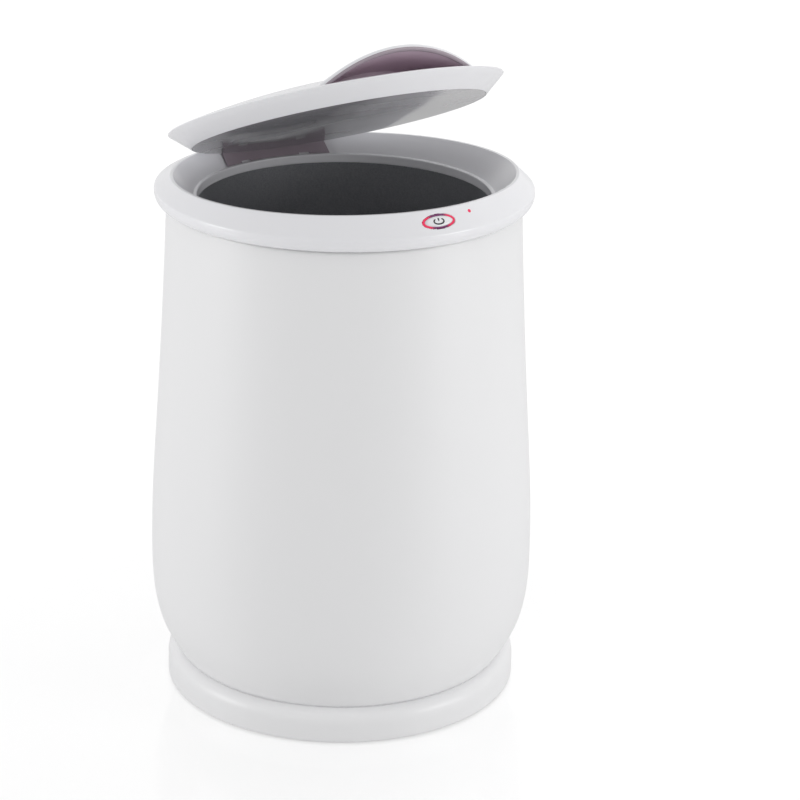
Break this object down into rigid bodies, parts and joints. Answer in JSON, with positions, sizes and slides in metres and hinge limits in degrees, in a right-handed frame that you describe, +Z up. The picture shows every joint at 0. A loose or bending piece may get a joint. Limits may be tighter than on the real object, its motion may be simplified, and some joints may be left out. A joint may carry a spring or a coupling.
{
  "type": "towel warmer bucket",
  "caption": "Barrel-shaped heated towel bucket with a flared collar, a control face with a lit power button, and a hinged domed lid with a finger hood.",
  "frame": {"origin": "centre of the footprint, on the surface that the rubber feet rest on", "axes": "+Z up the bucket's axis, -Y to the front with the control face and the lid's finger hood, +Y to the hinge"},
  "size_m": [0.3438, 0.3438, 0.604],
  "materials": {
    "white_abs": "gloss",
    "white_body": "gloss",
    "grey_abs": "matte",
    "dark_gloss": "gloss",
    "dark_plate": "matte",
    "anodised": "matte",
    "aluminium": "satin",
    "steel": "satin",
    "rubber": "matte",
    "silicone": "matte",
    "wool": "matte",
    "foam": "matte",
    "board": "satin",
    "red_lit": "gloss",
    "ceramic": "matte"
  },
  "bodies": {
    "housing": {"base_plinth": "white_abs", "base_cover": "white_abs", "rubber_feet": "rubber", "base_screws": "steel", "cord_gland": "rubber", "power_board": "board", "power_board_screws": "steel", "heater_leads": "rubber", "body_shell": "white_body", "body_screws": "steel", "collar": "white_abs", "collar_screws": "steel", "hinge_cover": "dark_plate", "hinge_bracket": "steel", "bracket_screws": "steel", "hinge_pin": "steel", "hinge_washers": "steel", "inner_bucket": "anodised", "bucket_gasket": "silicone", "heater_wrap": "silicone", "insulation_sleeve": "wool", "bottom_heater": "aluminium", "thermostat": "ceramic", "thermal_fuse": "aluminium", "fuse_clamp": "steel", "light_ring": "red_lit", "indicator_lens": "red_lit", "control_board": "board", "control_screws": "steel"},
    "lid": {"hinge_arms": "white_abs", "arm_screws": "steel", "lid_shell": "white_abs", "lid_hood": "white_abs", "grip_insert": "grey_abs", "lid_panel": "dark_gloss", "lid_foam": "foam"},
    "button": {"power_button": "white_abs"}
  },
  "joints": [
    {"name": "lid_hinge", "type": "hinge", "parent": "housing", "child": "lid", "pos_m": [0, 0.151, 0.45951], "axis": [-1, 0, 0], "range_deg": [-21.6, 43]},
    {"name": "power_press", "type": "slide", "parent": "housing", "child": "button", "axis": [0, 0.7837, -0.6211], "range_m": [0, 0.001], "stiffness_N_per_m": 1500, "springref_m": -0.001}
  ]
}
